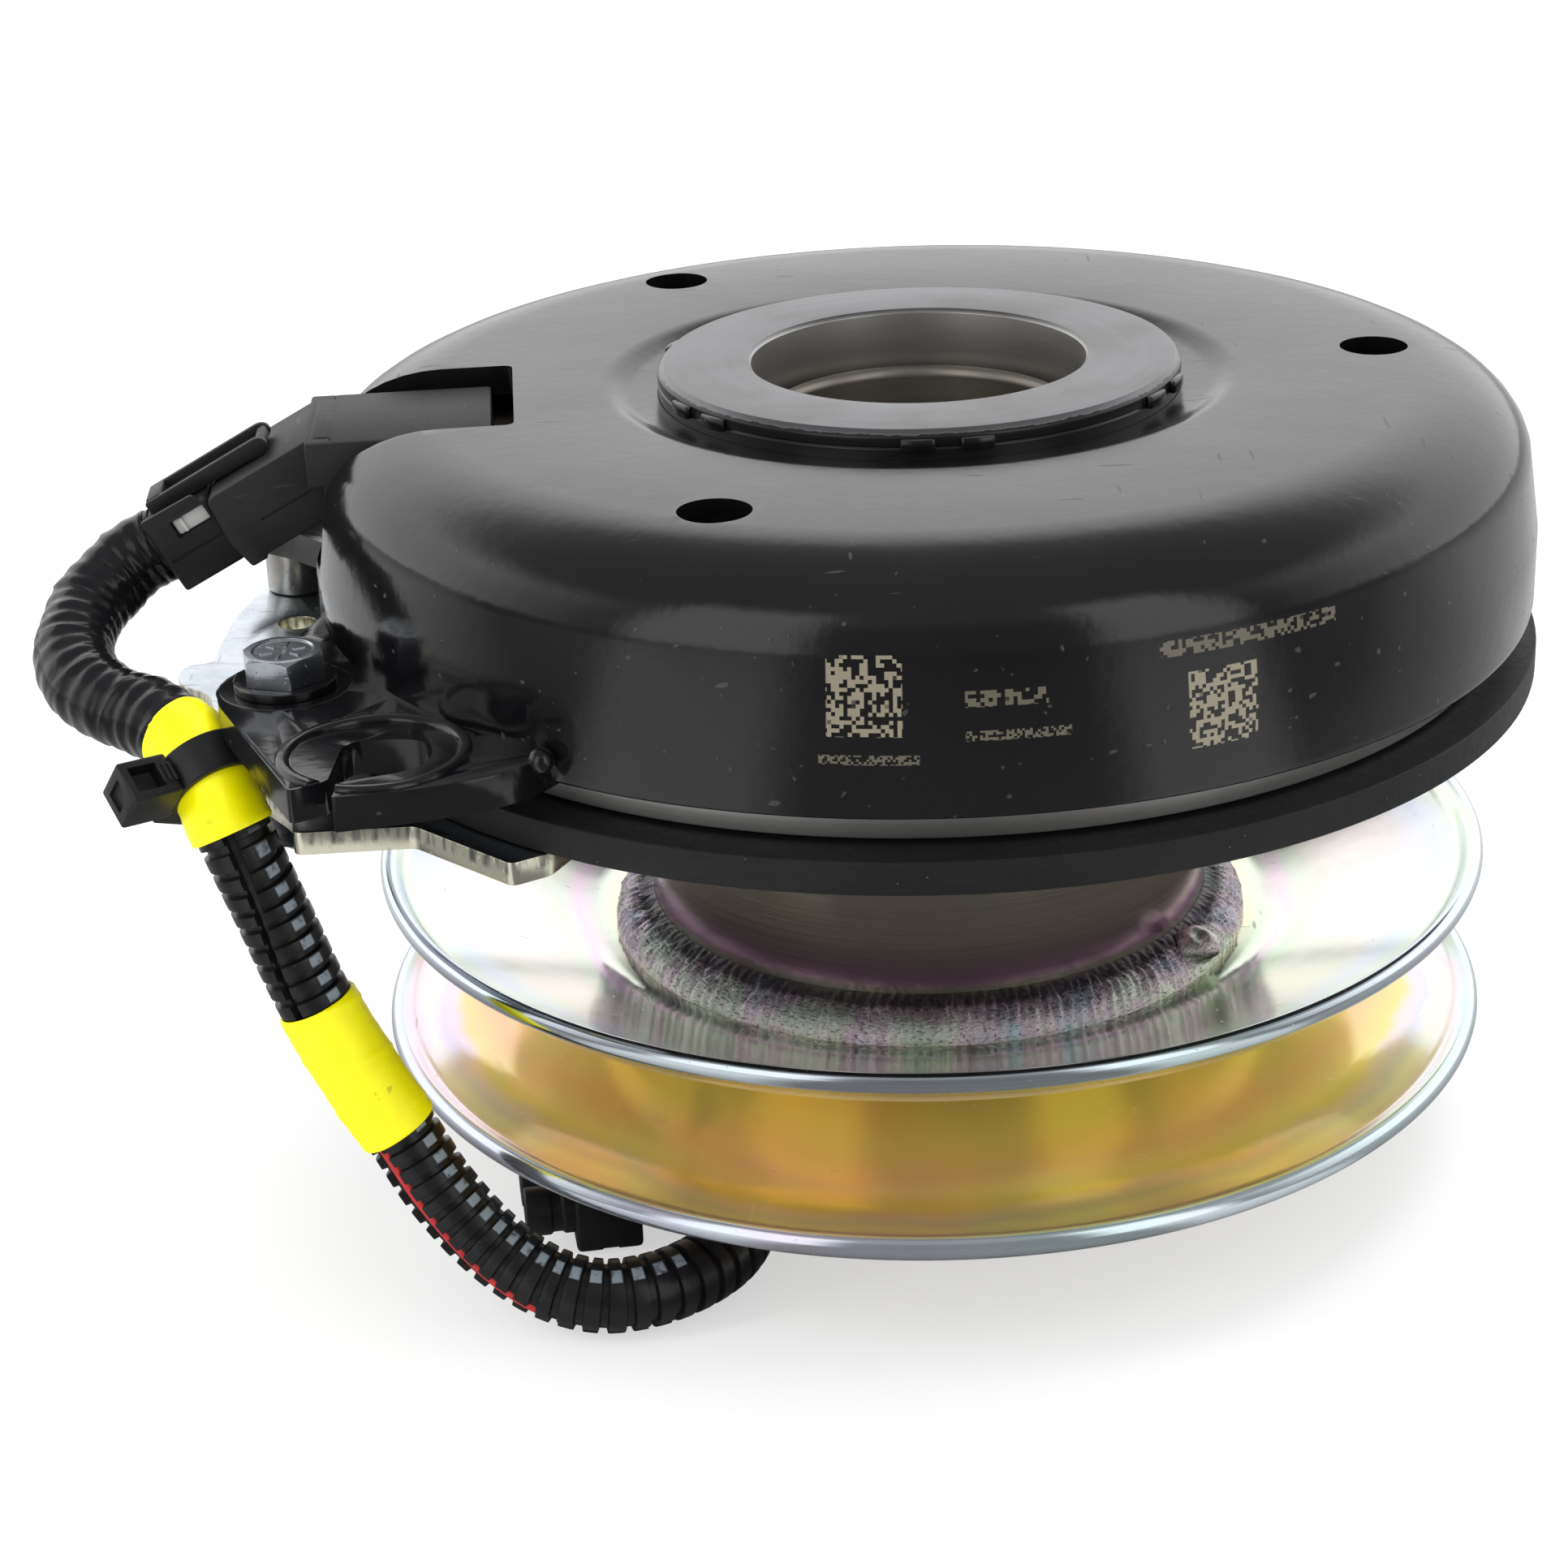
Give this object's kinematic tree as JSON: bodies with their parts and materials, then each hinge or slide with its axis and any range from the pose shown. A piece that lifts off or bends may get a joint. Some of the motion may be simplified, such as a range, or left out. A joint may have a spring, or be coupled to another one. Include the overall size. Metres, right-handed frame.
{
  "type": "electromagnetic clutch",
  "caption": "Electromagnetic clutch and brake with a painted coil housing, spring-returned armature, V-belt pulley, brake plate and a short wiring harness.",
  "frame": {"origin": "on the shaft line, in the plane of the hub collar's lower end face", "axes": "+Z along the shaft from the pulley to the coil housing, -X towards the electrical connector"},
  "size_m": [0.2323, 0.1922, 0.13],
  "materials": {
    "black_paint": "gloss black enamel",
    "turned_steel": "turned, satin",
    "raw_iron": "machined, dark oiled",
    "zinc_yellow": "iridescent yellow zinc plate",
    "zinc_bolt": "clear zinc plate",
    "steel": "ground steel",
    "ferrite": "pressed magnet",
    "copper": "enamelled copper wire",
    "bobbin": "moulded nylon",
    "black_plastic": "moulded, fine texture",
    "loom": "corrugated split tube",
    "seal_rubber": "moulded seal"
  },
  "bodies": {
    "field": {"bearing_carrier": "turned_steel", "brake_bolt_1": "zinc_bolt", "brake_bolt_2": "zinc_bolt", "brake_magnet_1": "ferrite", "brake_magnet_2": "ferrite", "brake_magnet_3": "ferrite", "brake_nut_1": "zinc_bolt", "brake_nut_2": "zinc_bolt", "brake_plate": "zinc_yellow", "brake_spacer_1": "steel", "brake_spacer_2": "steel", "brake_washer_1": "black_paint", "brake_washer_2": "black_paint", "cable_tie": "black_plastic", "coil_bobbin": "bobbin", "coil_connector": "black_plastic", "coil_terminal_1": "copper", "coil_terminal_2": "copper", "coil_winding": "copper", "far_connector": "black_plastic", "field_bearing_outer": "steel", "field_bearing_seal_lower": "seal_rubber", "field_bearing_seal_upper": "seal_rubber", "field_shell": "black_paint", "harness_loom": "loom", "harness_plug": "black_plastic", "plug_latch": "black_plastic"},
    "rotor": {"field_ball_1": "steel", "field_ball_2": "steel", "field_ball_3": "steel", "field_ball_4": "steel", "field_ball_5": "steel", "field_ball_6": "steel", "field_bearing_inner": "steel", "hub_collar": "raw_iron", "pulley_ball_1": "steel", "pulley_ball_2": "steel", "pulley_ball_3": "steel", "pulley_ball_4": "steel", "pulley_ball_5": "steel", "pulley_ball_6": "steel", "pulley_bearing_inner": "steel", "rotor_disc": "raw_iron"},
    "pulley": {"hub_rivet_1": "steel", "hub_rivet_2": "steel", "hub_rivet_3": "steel", "leaf_spring_1": "steel", "leaf_spring_2": "steel", "leaf_spring_3": "steel", "lower_sheave": "zinc_yellow", "pulley_bearing_outer": "steel", "pulley_bearing_seal": "seal_rubber", "pulley_hub": "steel", "pulley_snap_ring": "steel", "upper_sheave": "zinc_yellow", "weld_bead": "steel"},
    "armature": {"armature_disc": "raw_iron", "armature_rivet_1": "steel", "armature_rivet_2": "steel", "armature_rivet_3": "steel"}
  },
  "joints": [
    {"name": "rotor_spin", "type": "hinge", "parent": "field", "child": "rotor", "pos_m": [0, 0, 0], "axis": [0, 0, 1], "continuous": true},
    {"name": "pulley_spin", "type": "hinge", "parent": "rotor", "child": "pulley", "pos_m": [0, 0, 0], "axis": [0, 0, 1], "continuous": true},
    {"name": "armature_slide", "type": "slide", "parent": "pulley", "child": "armature", "axis": [0, 0, 1], "range_m": [0, 0.0005], "stiffness_N_per_m": 4000}
  ]
}
